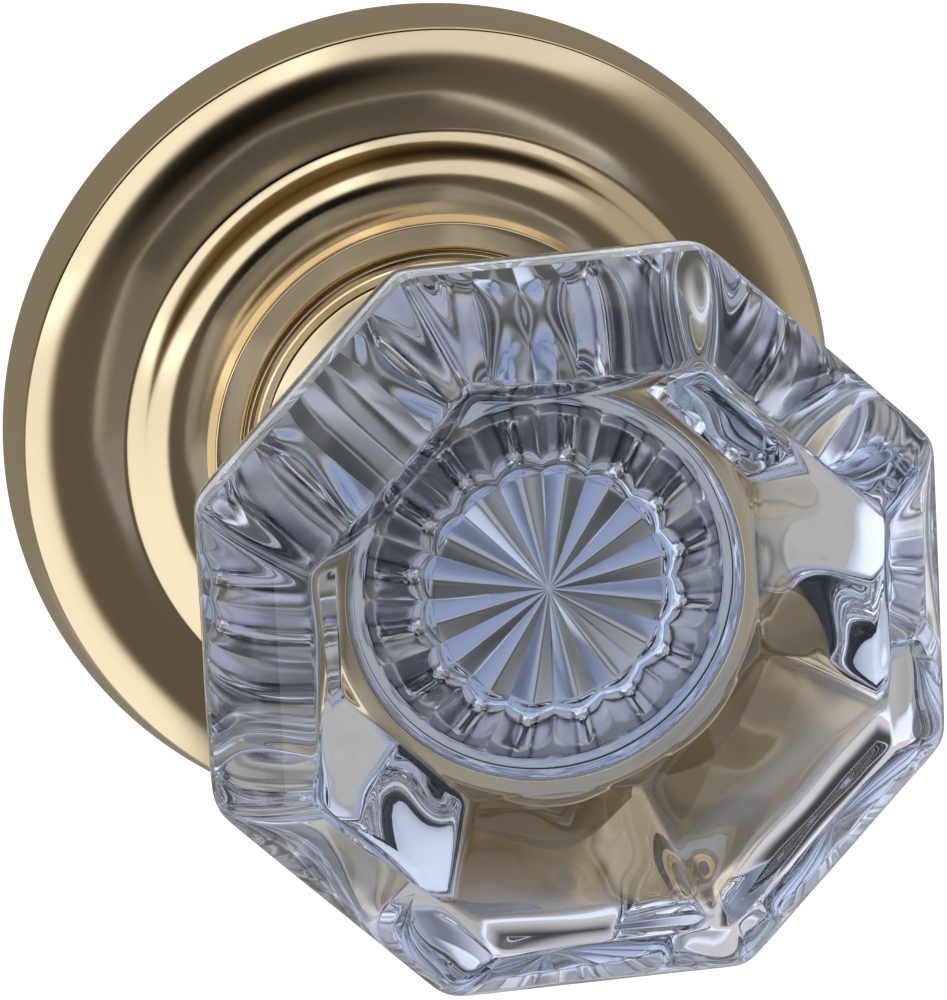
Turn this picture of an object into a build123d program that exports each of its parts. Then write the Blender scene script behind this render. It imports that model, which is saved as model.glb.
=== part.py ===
"""Octagonal glass door knob on a round stepped brass rose: one side of a passage set.

Millimetres. The door's face is the plane y = 0, the knob points along -Y, +Z is up, and the
origin is where the spindle's axis crosses the door's face. Every piece is modelled upright,
as (radius or x, world up, height off the door), and stood() turns it into that frame.
"""
from build123d import *
import os
from math import cos, pi, radians, sin, tan

# Driving dimensions

ROSE_R = 66.7 / 2
ROSE_WALL = 1.2
ROSE_SIDE = ((33.05, 1.6), (32.6, 3.5), (32.25, 4.75))
ROLLED_EDGE = ((37, 11, 8.0), (11, 4, 14.0), (4, 0, 25.0))
OGEE_START_R = 24.75
OGEE_FOOT = ((0, 26, 0.9), (26, 38.5, 3.2), (38.5, 44, 9.0))
OGEE_HEAD = ((44, 38.5, 9.0), (38.5, 27, 4.5), (27, 11, 3.2), (11, 4, 12.0))
STEP_R = 18.45
HUB_R = 18.05
HUB_RISE = 1.45
HUB_MID_R = 16.0
HUB_MID_RISE = 1.75
HUB_FLOOR = 10.3
HUB_CEILING = HUB_FLOOR - ROSE_WALL
INNER_SEAT_R = 20.1
INNER_SEAT_H = 7.8
INNER_FOOT = (23.4, 5.0)
INNER_FLANGE = (28.0, 5.2)
INNER_RIM = (31.1, 3.95)
HUB_HOLE_R = 12.5
STEP_BEND = 0.12
HUB_BEND = 0.25
ROSE_SCREW_R = 1.5
ROSE_SCREW_H = 2.6
ROSE_SCREW_INSET = 1.1
ROSE_HEX_R = 0.75
ROSE_HEX_DEPTH = 1.5

PLATE_R = 30.6
PLATE_T = 1.6
PLATE_LIP_H = 3.8
PLATE_LIP_T = 1.2
PLATE_HOLE_R = 9.0

SCREW_SPACING = 38.1
SCREW_R = 2.0
SCREW_NECK_R = 1.75
SCREW_NECK_END = -0.6
SCREW_LENGTH = 48.0
SCREW_HEAD_R = 4.0
SCREW_HEAD_T = 2.2
SCREW_HEAD_EDGE = 1.0
SCREW_HEAD_BROW = (3.1, 1.9)
CROSS_SLOT = (4.4, 0.9, 2.4)
SCREW_CLEARANCE = 0.2
WASHER_R = 4.5
WASHER_T = 0.8

HOUSING_R = 14.4
HOUSING_WALL = 0.9
HOUSING_DEPTH = 7.4
EAR_ANGLES = (90.0, 210.0, 330.0)
EAR_R = 17.5
EAR_INSET = 1.5
EAR_LENGTH = 9.0
EAR_WIDTH = 7.0
RIVET_R = 1.5
RIVET_HEAD_R = 2.4
RIVET_HEAD_T = 0.8

CAM_HUB_R = 7.5
CAM_GAP = 0.35
STOP_DEPTH = 2.0
CAM_PLATE_R = 12.9
CAM_TOP = -0.4
CAM_PLATE_T = 0.9
STOP_HALF_ANGLE = 6.0
TURN_LIMIT = 52.0
HORN_HALF_ANGLE = 9.0
CAM_UNDER = CAM_TOP - CAM_PLATE_T
CAM_HUB_END = 0.5
HORN_IN_R = 11.4
HORN_OUT_R = 12.35
HORN_LOW = 1.4
SPRING_TAB_R = 12.75

COIL_R = 10.3
WIRE_R = 0.55
COIL_PITCH = 1.2
COIL_GAP = 0.15
LEG_HALF_ANGLE = 12.5
COIL_TURNS = 3 - 2 * LEG_HALF_ANGLE / 360
LEG_END_R = 13.2

SPINDLE_SIDE = 8.0
SPINDLE_BACK = 58.0
SPINDLE_FRONT = 25.0
SPINDLE_CHAMFER = 0.6
BROACH_SIDE = 8.1
BROACH_END = 25.5

JOURNAL_R = 10.5
JOURNAL_END = 3.9
BUSH_BORE_R = 10.55
BUSH_REACH = 2.4
BUSH_FLANGE_W = 2.0
BUSH_FLANGE_T = 1.3
FOOT_GAP = 0.1
GROOVE_R = 9.7
CLIP_R = 12.2
CLIP_OPENING = (6, 5, 4)
THRUST_R = 13.6
THRUST_LOW = 5.6
THRUST_HIGH = 6.1
DISHED_R = 13.3
DISHED_T = 0.25
CLIP_LOW = 4.7
CLIP_T = 0.8

FOOT_R = 15.75
FOOT_LOW = 10.6
FOOT_HIGH = 11.1
FOOT_BREAK = 0.3
FOOT_LAND = (14.45, 11.25)
NECK_MID = (11.3, 13.6)
NECK_R = 9.6
NECK_LOW = 20.0
NECK_HIGH = 24.0
COLLAR_R = 11.0
COLLAR_H = 27.0
SPIGOT_R = 6.0
SPIGOT_TOP = 32.0
GRUB_R = 2.5
GRUB_H = 21.0
GRUB_TIP = 3.5
GRUB_INSET = 0.3
GRUB_HEX_R = 1.4
GRUB_HEX_DEPTH = 2.5

CUP_R = 15.6
CUP_IN_R = 14.3
CUP_LEDGE_R = 12.7
CUP_LEDGE_H = 36.9
CUP_FLARE_H = 35.0
CUP_TOP = 41.0
CUP_BREAK = 0.4
CUP_WAIST_H = 34.0
CUP_FLOOR_R = 10.2
CUP_FLOOR_H = 28.5
NUT_FLATS = 16.0
NUT_T = 3.0

KNOB_FLATS = 54.0
TABLE_FLATS = 41.2
TABLE_H = 73.6
TABLE_DOME_R = 320.0
BEVEL_R = 15.5
BEVEL_SLOPE = 36.0
GIRDLE_HIGH = 62.8
GIRDLE_LOW = 61.2
SHOULDER = (22.34, 49.22)
SHOULDER_BEND_R = 19.5
BACK = (15.25, 41.55)
BACK_BEND_R = 133.0
BACK_FLAT_H = 41.3
CORNER_REACH = 1.074
BOSS_R = 14.0
BOSS_LOW = 39.2

FLUTES = 16
DISH_MOUTH_R = 12.45
DISH_MID_R = 10.8
DISH_MID_H = 40.7
DISH_FLOOR_R = 9.1
DISH_FLOOR_H = 41.6
MOUTH_BULGE = 0.45
MID_BULGE = 1.0
FLOOR_BULGE = 0.35
STAR_RIM_R = 8.7
STAR_FILL = 0.94
STAR_RIM_RISE = 0.4
STAR_EYE_R = 1.0
STAR_RISE = 0.5

FOIL_GAP = 0.06
FOIL_BRIM_R = 13.7
CUSHION_TOP = 38.8
FOIL_T = 0.3
CEMENT_LOW = 39.5
CEMENT_HIGH = 40.9
TINY = 0.05


# Helpers

def turned(*edges):
    """Body of revolution from a closed half outline of (radius, height) edges."""
    return revolve(Plane.XZ * make_face(Wire(edges)), Axis.Z)


def bent(edges, bends):
    """Half outline with chosen corners rounded; bends lists (corner, radius)."""
    face = make_face(Wire(edges))
    for corner, radius in bends:
        near = face.vertices().sort_by_distance(Vector(*corner))[0]
        face = fillet(near, radius)
    return face


def outline(*points):
    """Straight edges through the points and back to the first."""
    return [Line(a, b) for a, b in zip(points, points[1:] + points[:1])]


def arc_chain(start, arcs):
    """Arcs towards the axis; each is its slope at both ends, in degrees, and its radius."""
    edges = []
    for first, last, radius in arcs:
        middle = walked(start, first, (first + last) / 2, radius * (1 if first > last else -1))
        end = walked(start, first, last, radius * (1 if first > last else -1))
        edges.append(ThreePointArc(start, middle, end))
        start = end
    return edges


def end_of(edges):
    """Where a run of edges stops, as a pair."""
    last = edges[-1] @ 1
    return (last.X, last.Y)


def walked(start, first, last, radius):
    """Where an arc that leaves start at one slope has reached another slope."""
    s0 = radians(first)
    s1 = radians(last)
    return (start[0] - radius * (sin(s0) - sin(s1)), start[1] + radius * (cos(s1) - cos(s0)))


def ring(inner, outer, low, high):
    """Plain washer or tube."""
    return turned(*outline((inner, low), (outer, low), (outer, high), (inner, high)))


def disc(radius, low, high):
    """Solid cylinder about the spindle's axis."""
    return Pos(0, 0, low) * extrude(Circle(radius), high - low)


def sector(inner, outer, low, high, middle, half_angle):
    """Piece of a ring, given by its middle direction and half its angle, in degrees."""
    full = ring(inner, outer, low, high)
    reach = 2 * outer
    edge = reach * tan(radians(half_angle))
    wedge = make_face(Polyline((0, 0), (reach, -edge), (reach, edge), close=True))
    return full & (Rot(0, 0, middle) * Pos(0, 0, low) * extrude(wedge, high - low))


def square_bar(side, low, high):
    """Square bar about the spindle's axis, flats facing up and down."""
    return Pos(0, 0, low) * extrude(Rectangle(side, side), high - low)


def around(angle, radius):
    """Place something at a polar position about the spindle's axis."""
    return Pos(radius * cos(radians(angle)), radius * sin(radians(angle)), 0)


def stood(shape):
    """Turn an upright piece so that its height runs out of the door, along -Y."""
    return Rot(90, 0, 0) * shape


# The rose, fixed to the door

def rose_shell():
    """Stepped dome: tapered side, rolled flange, ogee, seat, step and hub."""
    rolled = arc_chain(ROSE_SIDE[-1], ROLLED_EDGE)
    flange = end_of(rolled)
    foot = (OGEE_START_R, flange[1])
    ogee = arc_chain(foot, OGEE_FOOT + OGEE_HEAD)
    seat = end_of(ogee)
    crease = (STEP_R, seat[1])
    hub_edge = (HUB_R, seat[1] + HUB_RISE)
    inside = [
        seat,
        crease,
        hub_edge,
        (HUB_MID_R, seat[1] + HUB_MID_RISE),
        (HUB_MID_R, HUB_FLOOR),
        (HUB_HOLE_R, HUB_FLOOR),
        (HUB_HOLE_R, HUB_CEILING),
        (HUB_MID_R + 0.4, HUB_CEILING),
        (HUB_MID_R + 0.8, INNER_SEAT_H),
        (INNER_SEAT_R, INNER_SEAT_H),
        INNER_FOOT,
        INNER_FLANGE,
        INNER_RIM,
        (ROSE_R - ROSE_WALL, 0),
        (ROSE_R, 0),
    ]
    side = Polyline((ROSE_R, 0), *ROSE_SIDE).edges()
    edges = [*side, *rolled, Line(flange, foot), *ogee, *Polyline(*inside).edges()]
    shell = revolve(Plane.XZ * bent(edges, [(crease, STEP_BEND), (hub_edge, HUB_BEND)]), Axis.Z)
    hole = Pos(0, 0, ROSE_SCREW_H) * Rot(90, 0, 0) * Cylinder(ROSE_SCREW_R, 80)
    below = Pos(0, -ROSE_R, 0) * Box(10, 12, 40)
    return shell - (hole & below)


def rose_set_screw():
    """Grub screw up through the rose's rim into the plate's lip, at the underside."""
    tip = PLATE_R - PLATE_LIP_T
    tail = ROSE_R - ROSE_SCREW_INSET
    body = Cylinder(ROSE_SCREW_R - TINY, tail - tip)
    socket = Pos(0, 0, (tail - tip) / 2) * extrude(RegularPolygon(ROSE_HEX_R, 6), -ROSE_HEX_DEPTH)
    return Pos(0, -(tip + tail) / 2, ROSE_SCREW_H) * Rot(90, 0, 0) * (body - socket)


def rose_bushing():
    """Flanged nylon bearing for the shank, pushed up into the hub from behind."""
    sleeve = ring(BUSH_BORE_R, HUB_HOLE_R, HUB_CEILING - BUSH_REACH, FOOT_LOW - FOOT_GAP)
    flange = ring(HUB_HOLE_R, HUB_HOLE_R + BUSH_FLANGE_W, HUB_CEILING - BUSH_FLANGE_T, HUB_CEILING)
    return sleeve + flange


def mounting_plate():
    plate = ring(PLATE_HOLE_R, PLATE_R, 0, PLATE_T)
    lip = ring(PLATE_R - PLATE_LIP_T, PLATE_R, PLATE_T, PLATE_LIP_H)
    whole = plate + lip
    for x in (-SCREW_SPACING / 2, SCREW_SPACING / 2):
        whole -= Pos(x, 0, PLATE_T / 2) * Cylinder(SCREW_R + SCREW_CLEARANCE, 3 * PLATE_T)
    for angle in EAR_ANGLES:
        whole -= around(angle, EAR_R) * disc(RIVET_R, -1, PLATE_T + 1)
    grub = Pos(0, -PLATE_R, ROSE_SCREW_H) * Rot(90, 0, 0) * Cylinder(ROSE_SCREW_R, 6)
    return whole - grub


def through_screws():
    """Two pan-head machine screws with cross recesses and a plain neck under the head."""
    seat = PLATE_T + WASHER_T
    edge = (SCREW_HEAD_R, seat + SCREW_HEAD_EDGE)
    brow = (SCREW_HEAD_BROW[0], seat + SCREW_HEAD_BROW[1])
    crown = (0, seat + SCREW_HEAD_T)
    head = turned(
        Line((0, seat), (SCREW_HEAD_R, seat)),
        Line((SCREW_HEAD_R, seat), edge),
        ThreePointArc(edge, brow, crown),
        Line(crown, (0, seat)),
    )
    slot = Pos(0, 0, seat + SCREW_HEAD_T) * Box(*CROSS_SLOT)
    neck = disc(SCREW_NECK_R, SCREW_NECK_END, seat)
    thread = disc(SCREW_R, seat - SCREW_LENGTH, SCREW_NECK_END)
    return pair(head - slot - Rot(0, 0, 90) * slot + neck + thread)


def screw_washers():
    return pair(ring(SCREW_R + SCREW_CLEARANCE, WASHER_R, PLATE_T, PLATE_T + WASHER_T))


def pair(piece):
    """The same piece at both through screws."""
    return Compound([Pos(x, 0, 0) * piece for x in (-SCREW_SPACING / 2, SCREW_SPACING / 2)])


def spring_housing():
    """Cup behind the plate, with three riveted ears, a spring tab and a stop tab."""
    inner = HOUSING_R - HOUSING_WALL
    wall = ring(inner, HOUSING_R, -HOUSING_DEPTH, 0)
    floor = ring(CAM_HUB_R + CAM_GAP, inner, -HOUSING_DEPTH, HOUSING_WALL - HOUSING_DEPTH)
    whole = wall + floor
    for angle in EAR_ANGLES:
        ear = Pos(EAR_R - EAR_INSET, 0, -HOUSING_WALL / 2) * Box(EAR_LENGTH, EAR_WIDTH, HOUSING_WALL)
        ear -= disc(HOUSING_R - 0.2, -HOUSING_DEPTH, HOUSING_WALL)
        ear -= Pos(EAR_R, 0, 0) * disc(RIVET_R, -2, 1)
        whole += Rot(0, 0, angle) * ear
    tab_low = HOUSING_WALL - HOUSING_DEPTH
    whole += sector(SPRING_TAB_R, inner + TINY, tab_low, CAM_UNDER - CAM_GAP, 90, HORN_HALF_ANGLE)
    return whole + sector(inner - STOP_DEPTH, inner + TINY, CAM_UNDER - CAM_GAP, 0, -90, STOP_HALF_ANGLE)


def housing_rivets():
    shank = disc(RIVET_R, -HOUSING_WALL, PLATE_T)
    front = disc(RIVET_HEAD_R, PLATE_T, PLATE_T + RIVET_HEAD_T)
    back = disc(RIVET_HEAD_R, -HOUSING_WALL - RIVET_HEAD_T, -HOUSING_WALL)
    return Compound([around(angle, EAR_R) * (shank + front + back) for angle in EAR_ANGLES])


def return_spring():
    """Torsion coil about the cam's hub, with two straight legs caught by the tabs."""
    low = HOUSING_WALL - HOUSING_DEPTH + WIRE_R + COIL_GAP
    height = COIL_PITCH * COIL_TURNS
    start = 90 + LEG_HALF_ANGLE
    helix = Helix(COIL_PITCH, height, COIL_R)
    section = Plane(origin=helix @ 0, z_dir=helix % 0) * Circle(WIRE_R)
    wire = Rot(0, 0, start) * sweep(section, path=helix, is_frenet=True)
    leg = Rot(0, 90, 0) * extrude(Circle(WIRE_R), LEG_END_R - COIL_R)
    elbow = leg + Sphere(WIRE_R)
    for angle, level in ((start, 0), (90 - LEG_HALF_ANGLE, height)):
        wire += Rot(0, 0, angle) * Pos(COIL_R, 0, level) * elbow
    return Pos(0, 0, low) * wire


# The knob, which turns

def spring_cam():
    """Square-holed rotor: hub, drive plate with a stop gap, and a horn between the spring's legs."""
    hub = disc(CAM_HUB_R, -HOUSING_DEPTH - CAM_HUB_END, CAM_TOP)
    plate = disc(CAM_PLATE_R, CAM_UNDER, CAM_TOP)
    half_gap = STOP_HALF_ANGLE + TURN_LIMIT
    gap = sector(CAM_PLATE_R - STOP_DEPTH, CAM_PLATE_R + 1, CAM_UNDER - 1, CAM_TOP + 1, -90, half_gap)
    horn = sector(HORN_IN_R, HORN_OUT_R, HORN_LOW - HOUSING_DEPTH, CAM_UNDER, 90, HORN_HALF_ANGLE)
    return hub + plate - gap + horn - square_bar(BROACH_SIDE, -20, 10)


def square_spindle():
    bar = square_bar(SPINDLE_SIDE, -SPINDLE_BACK, SPINDLE_FRONT)
    return chamfer(bar.edges().filter_by(Plane.XY), SPINDLE_CHAMFER)


def knob_shank():
    """Turned brass neck: journal, foot flange, waisted neck, collar and threaded spigot."""
    foot = Polyline(
        (0, JOURNAL_END),
        (JOURNAL_R, JOURNAL_END),
        (JOURNAL_R, FOOT_LOW),
        (FOOT_R, FOOT_LOW),
        (FOOT_R, FOOT_HIGH - FOOT_BREAK),
        (FOOT_R - FOOT_BREAK, FOOT_HIGH),
        FOOT_LAND,
    )
    neck_low = (NECK_R, NECK_LOW)
    neck_high = (NECK_R, NECK_HIGH)
    flare = Spline([FOOT_LAND, NECK_MID, neck_low], tangents=[(-1, 0.25), (0, 1)])
    waist = Spline([neck_high, (COLLAR_R, COLLAR_H)], tangents=[(0, 1), (0.6, 1)])
    spigot = Polyline(
        (COLLAR_R, COLLAR_H),
        (SPIGOT_R, COLLAR_H),
        (SPIGOT_R, SPIGOT_TOP),
        (0, SPIGOT_TOP),
        (0, JOURNAL_END),
    )
    body = turned(*foot.edges(), flare, Line(neck_low, neck_high), waist, *spigot.edges())
    groove = ring(GROOVE_R, JOURNAL_R + 1, CLIP_LOW - TINY, CLIP_LOW + CLIP_T + TINY)
    grub = Pos(0, -NECK_R, GRUB_H) * Rot(90, 0, 0) * Cylinder(GRUB_R, 2 * (NECK_R - GRUB_TIP))
    return body - groove - grub - square_bar(BROACH_SIDE, 0, BROACH_END)


def neck_set_screw():
    """Hex-socket grub screw at the underside, biting on the spindle's flat."""
    tip = SPINDLE_SIDE / 2
    tail = NECK_R - GRUB_INSET
    body = Cylinder(GRUB_R - TINY, tail - tip)
    socket = Pos(0, 0, (tail - tip) / 2) * extrude(RegularPolygon(GRUB_HEX_R, 6), -GRUB_HEX_DEPTH)
    return Pos(0, -(tip + tail) / 2, GRUB_H) * Rot(90, 0, 0) * (body - socket)


def thrust_washer():
    return ring(JOURNAL_R + 0.1, THRUST_R, THRUST_LOW, THRUST_HIGH)


def spring_washer():
    """Dished spring washer that takes up the end play."""
    inner = JOURNAL_R + 0.15
    middle = THRUST_HIGH + DISHED_T
    high = middle + DISHED_T
    return turned(*outline((inner, middle), (DISHED_R, THRUST_HIGH), (DISHED_R, middle), (inner, high)))


def shank_clip():
    """Open retaining ring in the journal's groove."""
    band = ring(GROOVE_R, CLIP_R, CLIP_LOW, CLIP_LOW + CLIP_T)
    return band - Pos(-JOURNAL_R, 0, CLIP_LOW) * Box(*CLIP_OPENING)


def ferrule():
    """Flared brass cup that holds the back of the glass."""
    collar = (COLLAR_R, COLLAR_H)
    flare = (CUP_R, CUP_FLARE_H)
    outer = [
        Line((SPIGOT_R, COLLAR_H), collar),
        Spline([collar, flare], tangents=[(0.6, 1), (0.15, 1)]),
    ]
    inside = Polyline(
        flare,
        (CUP_R, CUP_TOP - CUP_BREAK),
        (CUP_R - CUP_BREAK, CUP_TOP),
        (CUP_IN_R, CUP_TOP),
        (CUP_IN_R, CUP_LEDGE_H),
        (CUP_LEDGE_R, CUP_LEDGE_H),
        (CUP_LEDGE_R, CUP_WAIST_H),
        (CUP_FLOOR_R, CUP_FLOOR_H),
        (SPIGOT_R, CUP_FLOOR_H),
        (SPIGOT_R, COLLAR_H),
    )
    return turned(*outer, *inside.edges())


def ferrule_nut():
    """Thin hexagon nut that pulls the ferrule onto the shank's collar."""
    nut = extrude(RegularPolygon(NUT_FLATS / 2, 6, major_radius=False), NUT_T)
    return Pos(0, 0, CUP_FLOOR_H) * nut - disc(SPIGOT_R, 0, CUP_TOP)


def cushion_washer():
    """Fibre ring that the glass's boss and the foil's brim rest on."""
    return ring(DISH_MOUTH_R + MOUTH_BULGE + 0.1, CUP_IN_R - TINY, CUP_LEDGE_H, CUSHION_TOP)


def cement_ring():
    return ring(BOSS_R, CUP_IN_R, CEMENT_LOW, CEMENT_HIGH)


def scalloped(radius, bulge, height):
    """Outline of bulging petals: arcs between cusps on a circle."""
    step = 2 * pi / FLUTES
    top = radius + bulge
    arcs = []
    for i in range(FLUTES):
        a = i * step
        ends = [(radius * cos(t), radius * sin(t)) for t in (a, a + step)]
        crown = (top * cos(a + step / 2), top * sin(a + step / 2))
        arcs.append(ThreePointArc(ends[0], crown, ends[1]))
    return Pos(0, 0, height) * make_face(Wire(arcs))


def roof(distance, base, top, width):
    """Upright triangle facing the axis, at a distance from it."""
    face = make_face(Polyline((-width / 2, base), (width / 2, base), (0, top), close=True))
    upright = Plane.XZ * face
    return Pos(distance, 0, 0) * (Rot(0, 0, 90) * upright)


def dish(gap):
    """Fluted hollow in the back of the glass with a star in it, shrunk by a gap on every side."""
    slope = (DISH_MOUTH_R - DISH_MID_R) / (DISH_MID_H - BOSS_LOW)
    low = BOSS_LOW - 1.0
    mouth_r = DISH_MOUTH_R + slope * (BOSS_LOW - low)
    floor_h = DISH_FLOOR_H - gap
    sides = loft([
        scalloped(mouth_r - gap, MOUTH_BULGE, low - gap),
        scalloped(DISH_MID_R - gap, MID_BULGE, DISH_MID_H - gap),
        scalloped(DISH_FLOOR_R - gap, FLOOR_BULGE, floor_h),
    ])
    base = floor_h - TINY
    rim_r = STAR_RIM_R - gap
    width = 2 * rim_r * tan(pi / FLUTES) * STAR_FILL
    rim = roof(rim_r, base, floor_h + STAR_RIM_RISE, width)
    tip = roof(STAR_EYE_R, base, floor_h + STAR_RISE, width * STAR_EYE_R / rim_r)
    petal = loft([tip, rim])
    star = [Rot(0, 0, (i + 0.5) * 360 / FLUTES) * petal for i in range(FLUTES)]
    eye = disc(STAR_EYE_R + 0.1, base, floor_h + STAR_RISE - 0.1)
    return sides + eye + star


def half_section():
    """Right half of the glass's section across its flats, as edges from the table's middle down."""
    half = KNOB_FLATS / 2
    drop = TABLE_FLATS ** 2 / (8 * TABLE_DOME_R)
    table = (TABLE_FLATS / 2, TABLE_H - drop)
    brow = (table[0] - drop / tan(radians(BEVEL_SLOPE)), TABLE_H)
    return [
        Line((0, TABLE_H), brow),
        Line(brow, table),
        RadiusArc(table, (half, GIRDLE_HIGH), BEVEL_R),
        Line((half, GIRDLE_HIGH), (half, GIRDLE_LOW)),
        RadiusArc((half, GIRDLE_LOW), SHOULDER, SHOULDER_BEND_R),
        RadiusArc(SHOULDER, BACK, BACK_BEND_R),
        Line(BACK, (BACK[0] - 0.3, BACK_FLAT_H)),
        Line((BACK[0] - 0.3, BACK_FLAT_H), (0, BACK_FLAT_H)),
    ]


def glass_knob():
    """Octagonal block: domed table, convex bevels, narrow girdle, convex back, fluted hollow."""
    half = make_face(Wire(half_section() + [Line((0, BACK_FLAT_H), half_section()[0] @ 0)]))
    slab = Plane.XZ * (half + mirror(half, Plane.YZ))
    block = extrude(slab, KNOB_FLATS, both=True)
    knob = block
    for angle in (45, 90, 135):
        knob = knob & (Rot(0, 0, angle) * block)
    limit = scale(revolve(Plane.XZ * half, Axis.Z), (CORNER_REACH, CORNER_REACH, 1))
    dome = Pos(0, 0, TABLE_H - TABLE_DOME_R) * Sphere(TABLE_DOME_R)
    return (knob & limit & dome) + disc(BOSS_R, BOSS_LOW, BACK_FLAT_H) - dish(0)


def star_foil():
    """Silvered foil pressed against the glass's fluted hollow, with a flat brim."""
    low = BOSS_LOW - FOIL_GAP - FOIL_T
    brim = ring(DISH_MOUTH_R - 0.5, FOIL_BRIM_R, low, BOSS_LOW - FOIL_GAP)
    kept = disc(FOIL_BRIM_R, low, TABLE_H)
    return ((dish(FOIL_GAP) & kept) + brim) - dish(FOIL_GAP + FOIL_T)


PIECES = [
    rose_shell,
    rose_set_screw,
    rose_bushing,
    mounting_plate,
    through_screws,
    screw_washers,
    spring_housing,
    housing_rivets,
    return_spring,
    spring_cam,
    square_spindle,
    knob_shank,
    neck_set_screw,
    thrust_washer,
    spring_washer,
    shank_clip,
    ferrule,
    ferrule_nut,
    cushion_washer,
    cement_ring,
    glass_knob,
    star_foil,
]

os.makedirs("parts", exist_ok=True)
for make in PIECES:
    export_step(stood(make()), f"parts/{make.__name__}.step")
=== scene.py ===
"""Looks for an octagonal glass door knob on a stepped brass rose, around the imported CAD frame.

Profiles are in millimetres, as (radius, height off the door). A height runs along -Y, because
the door's face is the plane y = 0 and the knob points out of it. Angles about the axis start
at +X and turn towards +Z.
"""

from math import acos, cos, exp, pi, radians, sin, sqrt, tan

import bpy
from mathutils import Matrix, Vector, noise

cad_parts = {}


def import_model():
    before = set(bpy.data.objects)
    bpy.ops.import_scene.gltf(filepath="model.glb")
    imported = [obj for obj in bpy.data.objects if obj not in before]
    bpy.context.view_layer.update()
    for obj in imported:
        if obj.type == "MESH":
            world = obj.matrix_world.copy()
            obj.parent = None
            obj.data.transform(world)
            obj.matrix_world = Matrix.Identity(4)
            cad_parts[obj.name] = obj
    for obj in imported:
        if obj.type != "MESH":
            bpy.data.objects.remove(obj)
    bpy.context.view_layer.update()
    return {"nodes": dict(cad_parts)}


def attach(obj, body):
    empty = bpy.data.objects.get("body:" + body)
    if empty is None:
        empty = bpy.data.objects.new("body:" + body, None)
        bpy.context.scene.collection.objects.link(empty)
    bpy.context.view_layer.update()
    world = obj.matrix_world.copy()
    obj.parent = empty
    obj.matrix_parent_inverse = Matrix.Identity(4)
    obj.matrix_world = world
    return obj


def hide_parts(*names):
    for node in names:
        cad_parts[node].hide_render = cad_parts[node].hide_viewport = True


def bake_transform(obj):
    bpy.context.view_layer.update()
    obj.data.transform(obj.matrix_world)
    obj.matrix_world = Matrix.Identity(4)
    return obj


MM = 0.001
HOLE_SIDES = 64
SHARP = radians(40)

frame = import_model()
NODES = frame["nodes"]


# ---------------------------------------------------------------- profiles and meshes

def line(start, end, step):
    """Points from start to end, both included."""
    length = sqrt((end[0] - start[0]) ** 2 + (end[1] - start[1]) ** 2)
    count = max(1, int(length / step))
    return [
        (start[0] + (end[0] - start[0]) * i / count, start[1] + (end[1] - start[1]) * i / count)
        for i in range(count + 1)
    ]


def dense(points, step=0.35):
    """The polyline with extra points, so that no run is much longer than the step."""
    out = [points[0]]
    for a, b in zip(points, points[1:]):
        out += line(a, b, step)[1:]
    return out


def bend(points, radius, steps=8):
    """The polyline with every inner corner rounded; radius is a number or one per corner."""
    radii = radius if isinstance(radius, (list, tuple)) else [radius] * (len(points) - 2)
    out = [Vector(points[0])]
    for before, here, after, r in zip(points, points[1:], points[2:], radii):
        a, p, b = Vector(before), Vector(here), Vector(after)
        u, v = (a - p).normalized(), (b - p).normalized()
        turn = pi - acos(max(-1.0, min(1.0, u.dot(v))))
        if r <= 0 or turn < 1e-3:
            out.append(p)
            continue
        cut_back = min(r * tan(turn / 2), 0.49 * (a - p).length, 0.49 * (b - p).length)
        r = cut_back / tan(turn / 2)
        centre = p + (u + v).normalized() * (r / cos(turn / 2))
        start = p + u * cut_back - centre
        side = 1 if u.x * v.y - u.y * v.x < 0 else -1
        for i in range(steps + 1):
            t = side * turn * i / steps
            spun = (start.x * cos(t) - start.y * sin(t), start.x * sin(t) + start.y * cos(t))
            out.append(centre + Vector(spun))
    out.append(Vector(points[-1]))
    return [(p.x, p.y) for p in out]


def rounded(profile):
    """A profile of (radius, height, bend radius) with its inner corners rounded."""
    return bend([p[:2] for p in profile], [p[2] for p in profile[1:-1]], 10)


def arc(start, slopes, radius, steps=24):
    """Points along an arc walked towards the axis; slopes in degrees, rising inward."""
    s0, s1 = radians(slopes[0]), radians(slopes[1])
    side = 1 if s0 > s1 else -1
    return [
        (start[0] - side * radius * (sin(s0) - sin(s)), start[1] + side * radius * (cos(s) - cos(s0)))
        for s in (s0 + (s1 - s0) * i / steps for i in range(1, steps + 1))
    ]


def place(radius, height, angle):
    """A point of the frame, in metres, from radius and height in mm and angle about the axis."""
    return Vector((radius * cos(angle) * MM, -height * MM, radius * sin(angle) * MM))


def new_mesh(name, points, faces, smooth=True):
    mesh = bpy.data.meshes.new(name)
    mesh.from_pydata(points, [], faces)
    mesh.update()
    mesh.shade_smooth() if smooth else mesh.shade_flat()
    obj = bpy.data.objects.new(name, mesh)
    bpy.context.scene.collection.objects.link(obj)
    return obj


def grid_faces(rings, count, closed):
    """Quads between rings of points; closed joins the last ring to the first."""
    faces = []
    for i in range(rings if closed else rings - 1):
        j = (i + 1) % rings
        for k in range(count):
            m = (k + 1) % count
            faces.append((i * count + k, j * count + k, j * count + m, i * count + m))
    return faces


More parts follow.
